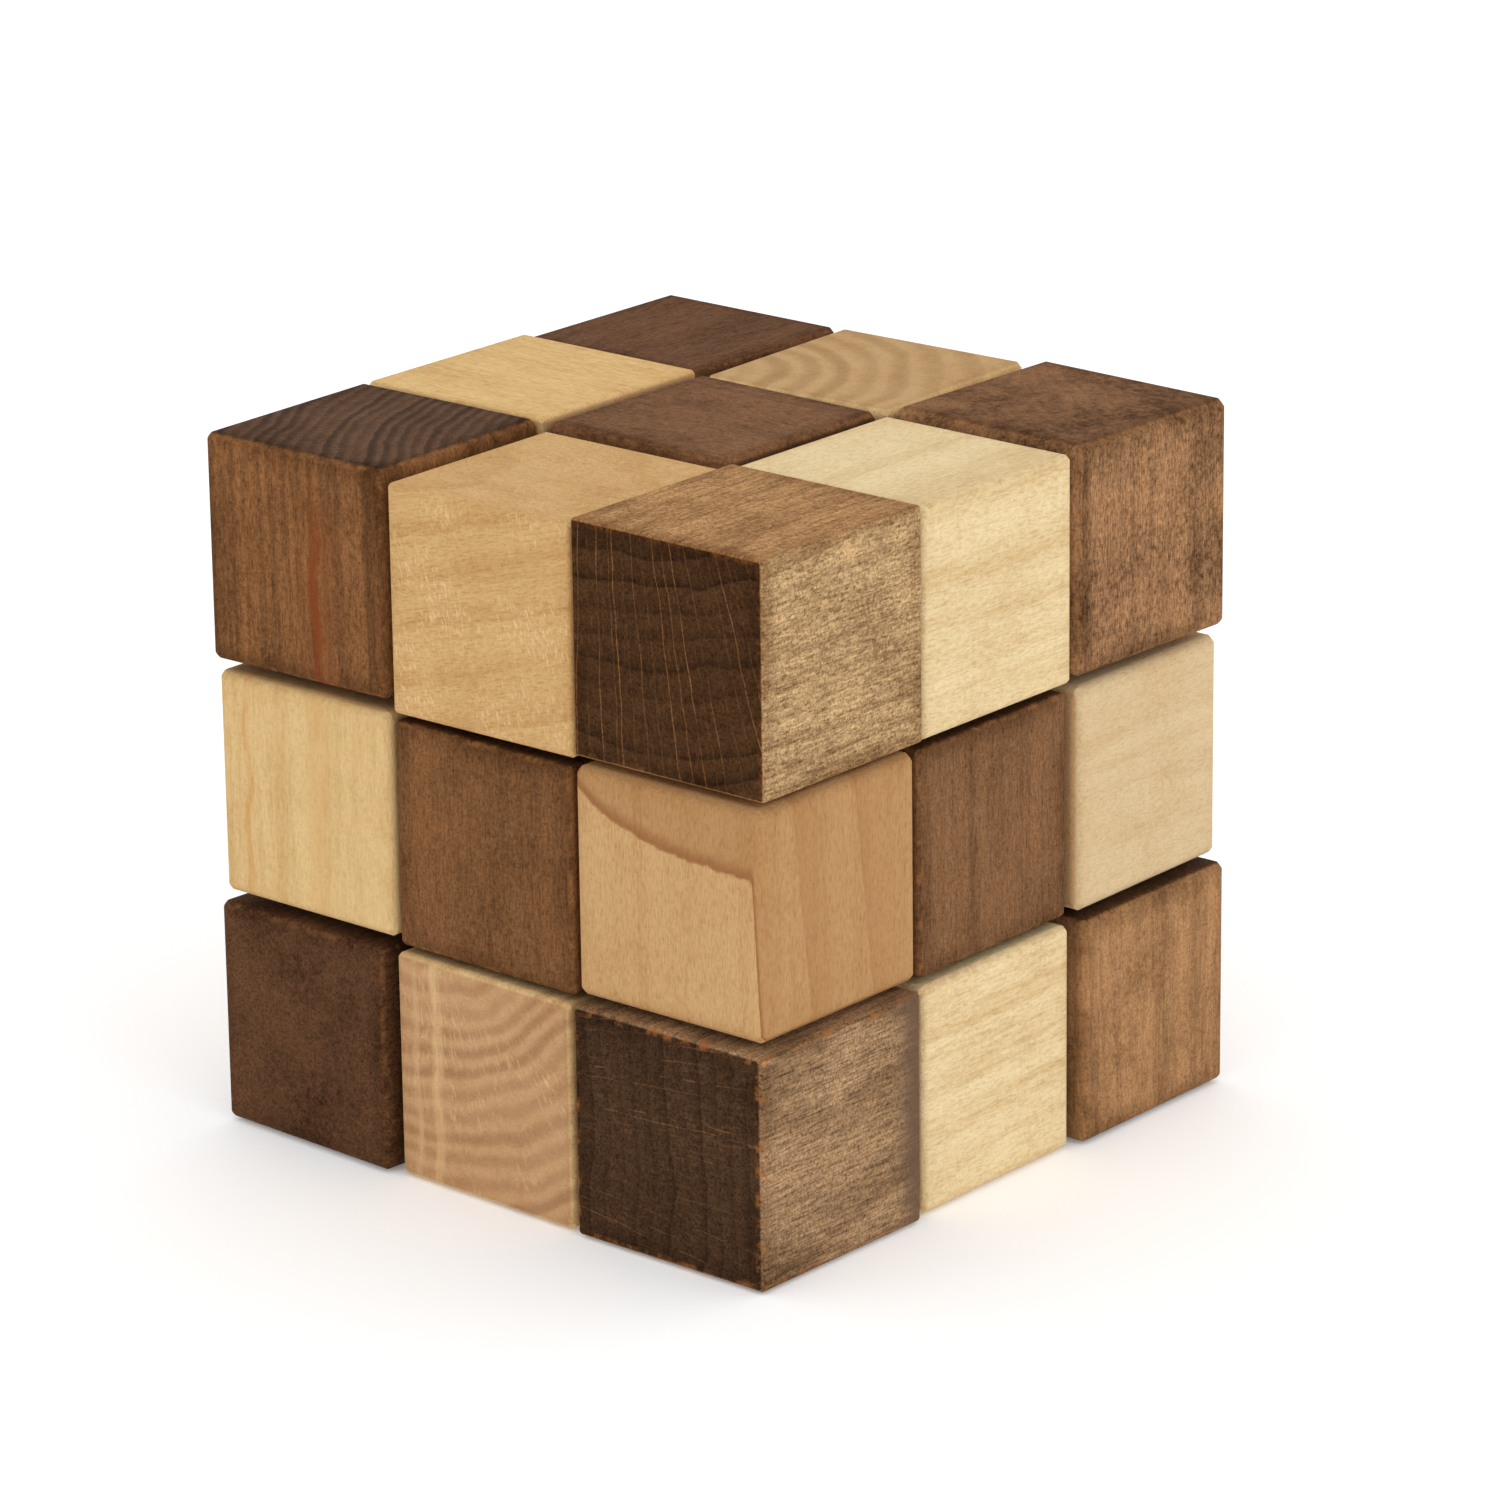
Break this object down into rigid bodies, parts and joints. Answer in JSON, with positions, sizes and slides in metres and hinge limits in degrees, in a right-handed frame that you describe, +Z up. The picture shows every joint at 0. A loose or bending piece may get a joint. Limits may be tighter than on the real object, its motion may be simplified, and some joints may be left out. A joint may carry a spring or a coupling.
{
  "type": "snake cube puzzle",
  "caption": "Folding snake cube puzzle: wooden cubes in two colours strung on one elastic cord and folded into a block, with layers that turn and cubes that pull apart.",
  "frame": {"origin": "centre of the block's footprint, on the surface that it stands on", "axes": "+Z up, the cord's first run goes along +X from the front left bottom cube, -Y is the front"},
  "size_m": [0.0625, 0.0628, 0.0621],
  "materials": {
    "dark_wood": "dark stained hardwood, satin, lightly worn",
    "light_wood": "pale natural hardwood, satin, lightly worn",
    "plug_wood": "end grain of a small dowel, matt",
    "cord": "braided elastic, matt"
  },
  "bodies": {
    "cube_01_body": {"cube_01": "dark_wood", "cord_01": "cord", "knot_start": "cord", "plug_start": "plug_wood"},
    "cube_02_body": {"cube_02": "light_wood", "cord_02": "cord"},
    "cube_03_body": {"cube_03": "dark_wood", "cord_03": "cord"},
    "cube_04_body": {"cube_04": "light_wood", "cord_04": "cord"},
    "cube_05_body": {"cube_05": "dark_wood", "cord_05": "cord"},
    "cube_06_body": {"cube_06": "light_wood", "cord_06": "cord"},
    "cube_07_body": {"cube_07": "dark_wood", "cord_07": "cord"},
    "cube_08_body": {"cube_08": "light_wood", "cord_08": "cord"},
    "cube_09_body": {"cube_09": "dark_wood"},
    "swivel_09_body": {"cord_09": "cord"},
    "cube_10_body": {"cube_10": "light_wood", "cord_10": "cord"},
    "cube_11_body": {"cube_11": "dark_wood", "cord_11": "cord"},
    "cube_12_body": {"cube_12": "light_wood", "cord_12": "cord"},
    "cube_13_body": {"cube_13": "dark_wood", "cord_13": "cord"},
    "cube_14_body": {"cube_14": "light_wood", "cord_14": "cord"},
    "cube_15_body": {"cube_15": "dark_wood", "cord_15": "cord"},
    "cube_16_body": {"cube_16": "light_wood", "cord_16": "cord"},
    "cube_17_body": {"cube_17": "dark_wood", "cord_17": "cord"},
    "cube_18_body": {"cube_18": "light_wood"},
    "swivel_18_body": {"cord_18": "cord"},
    "cube_19_body": {"cube_19": "dark_wood", "cord_19": "cord"},
    "cube_20_body": {"cube_20": "light_wood", "cord_20": "cord"},
    "cube_21_body": {"cube_21": "dark_wood", "cord_21": "cord"},
    "cube_22_body": {"cube_22": "light_wood", "cord_22": "cord"},
    "cube_23_body": {"cube_23": "dark_wood", "cord_23": "cord"},
    "cube_24_body": {"cube_24": "light_wood", "cord_24": "cord"},
    "cube_25_body": {"cube_25": "dark_wood", "cord_25": "cord"},
    "cube_26_body": {"cube_26": "light_wood", "cord_26": "cord"},
    "cube_27_body": {"cube_27": "dark_wood", "knot_end": "cord", "plug_end": "plug_wood"}
  },
  "joints": [
    {"name": "pull_01_02", "type": "slide", "parent": "cube_01_body", "child": "cube_02_body", "axis": [1, 0, 0], "range_m": [0, 0.008], "stiffness_N_per_m": 400, "deforming": ["cord_01"]},
    {"name": "pull_02_03", "type": "slide", "parent": "cube_02_body", "child": "cube_03_body", "axis": [1, 0, 0], "range_m": [0, 0.008], "stiffness_N_per_m": 400, "deforming": ["cord_02"]},
    {"name": "pull_03_04", "type": "slide", "parent": "cube_03_body", "child": "cube_04_body", "axis": [0, 1, 0], "range_m": [0, 0.008], "stiffness_N_per_m": 400, "deforming": ["cord_03"]},
    {"name": "pull_04_05", "type": "slide", "parent": "cube_04_body", "child": "cube_05_body", "axis": [-1, 0, 0], "range_m": [0, 0.008], "stiffness_N_per_m": 400, "deforming": ["cord_04"]},
    {"name": "pull_05_06", "type": "slide", "parent": "cube_05_body", "child": "cube_06_body", "axis": [-1, 0, 0], "range_m": [0, 0.008], "stiffness_N_per_m": 400, "deforming": ["cord_05"]},
    {"name": "pull_06_07", "type": "slide", "parent": "cube_06_body", "child": "cube_07_body", "axis": [0, 1, 0], "range_m": [0, 0.008], "stiffness_N_per_m": 400, "deforming": ["cord_06"]},
    {"name": "pull_07_08", "type": "slide", "parent": "cube_07_body", "child": "cube_08_body", "axis": [1, 0, 0], "range_m": [0, 0.008], "stiffness_N_per_m": 400, "deforming": ["cord_07"]},
    {"name": "pull_08_09", "type": "slide", "parent": "cube_08_body", "child": "cube_09_body", "axis": [1, 0, 0], "range_m": [0, 0.008], "stiffness_N_per_m": 400, "deforming": ["cord_08"]},
    {"name": "pull_09_10", "type": "slide", "parent": "cube_09_body", "child": "swivel_09_body", "axis": [0, 0, 1], "range_m": [0, 0.008], "stiffness_N_per_m": 400, "deforming": ["cord_09"]},
    {"name": "turn_upper_layers", "type": "hinge", "parent": "swivel_09_body", "child": "cube_10_body", "pos_m": [0.0208, 0.0209, 0.0205], "axis": [0, 0, 1], "continuous": true},
    {"name": "pull_10_11", "type": "slide", "parent": "cube_10_body", "child": "cube_11_body", "axis": [-1, 0, 0], "range_m": [0, 0.008], "stiffness_N_per_m": 400, "deforming": ["cord_10"]},
    {"name": "pull_11_12", "type": "slide", "parent": "cube_11_body", "child": "cube_12_body", "axis": [-1, 0, 0], "range_m": [0, 0.008], "stiffness_N_per_m": 400, "deforming": ["cord_11"]},
    {"name": "pull_12_13", "type": "slide", "parent": "cube_12_body", "child": "cube_13_body", "axis": [0, -1, 0], "range_m": [0, 0.008], "stiffness_N_per_m": 400, "deforming": ["cord_12"]},
    {"name": "pull_13_14", "type": "slide", "parent": "cube_13_body", "child": "cube_14_body", "axis": [1, 0, 0], "range_m": [0, 0.008], "stiffness_N_per_m": 400, "deforming": ["cord_13"]},
    {"name": "pull_14_15", "type": "slide", "parent": "cube_14_body", "child": "cube_15_body", "axis": [1, 0, 0], "range_m": [0, 0.008], "stiffness_N_per_m": 400, "deforming": ["cord_14"]},
    {"name": "pull_15_16", "type": "slide", "parent": "cube_15_body", "child": "cube_16_body", "axis": [0, -1, 0], "range_m": [0, 0.008], "stiffness_N_per_m": 400, "deforming": ["cord_15"]},
    {"name": "pull_16_17", "type": "slide", "parent": "cube_16_body", "child": "cube_17_body", "axis": [-1, 0, 0], "range_m": [0, 0.008], "stiffness_N_per_m": 400, "deforming": ["cord_16"]},
    {"name": "pull_17_18", "type": "slide", "parent": "cube_17_body", "child": "cube_18_body", "axis": [-1, 0, 0], "range_m": [0, 0.008], "stiffness_N_per_m": 400, "deforming": ["cord_17"]},
    {"name": "pull_18_19", "type": "slide", "parent": "cube_18_body", "child": "swivel_18_body", "axis": [0, 0, 1], "range_m": [0, 0.008], "stiffness_N_per_m": 400, "deforming": ["cord_18"]},
    {"name": "turn_top_layer", "type": "hinge", "parent": "swivel_18_body", "child": "cube_19_body", "pos_m": [-0.0204, -0.02015, 0.04157], "axis": [0, 0, 1], "continuous": true},
    {"name": "pull_19_20", "type": "slide", "parent": "cube_19_body", "child": "cube_20_body", "axis": [0, 1, 0], "range_m": [0, 0.008], "stiffness_N_per_m": 400, "deforming": ["cord_19"]},
    {"name": "pull_20_21", "type": "slide", "parent": "cube_20_body", "child": "cube_21_body", "axis": [0, 1, 0], "range_m": [0, 0.008], "stiffness_N_per_m": 400, "deforming": ["cord_20"]},
    {"name": "pull_21_22", "type": "slide", "parent": "cube_21_body", "child": "cube_22_body", "axis": [1, 0, 0], "range_m": [0, 0.008], "stiffness_N_per_m": 400, "deforming": ["cord_21"]},
    {"name": "pull_22_23", "type": "slide", "parent": "cube_22_body", "child": "cube_23_body", "axis": [0, -1, 0], "range_m": [0, 0.008], "stiffness_N_per_m": 400, "deforming": ["cord_22"]},
    {"name": "pull_23_24", "type": "slide", "parent": "cube_23_body", "child": "cube_24_body", "axis": [0, -1, 0], "range_m": [0, 0.008], "stiffness_N_per_m": 400, "deforming": ["cord_23"]},
    {"name": "pull_24_25", "type": "slide", "parent": "cube_24_body", "child": "cube_25_body", "axis": [1, 0, 0], "range_m": [0, 0.008], "stiffness_N_per_m": 400, "deforming": ["cord_24"]},
    {"name": "pull_25_26", "type": "slide", "parent": "cube_25_body", "child": "cube_26_body", "axis": [0, 1, 0], "range_m": [0, 0.008], "stiffness_N_per_m": 400, "deforming": ["cord_25"]},
    {"name": "pull_26_27", "type": "slide", "parent": "cube_26_body", "child": "cube_27_body", "axis": [0, 1, 0], "range_m": [0, 0.008], "stiffness_N_per_m": 400, "deforming": ["cord_26"]}
  ]
}
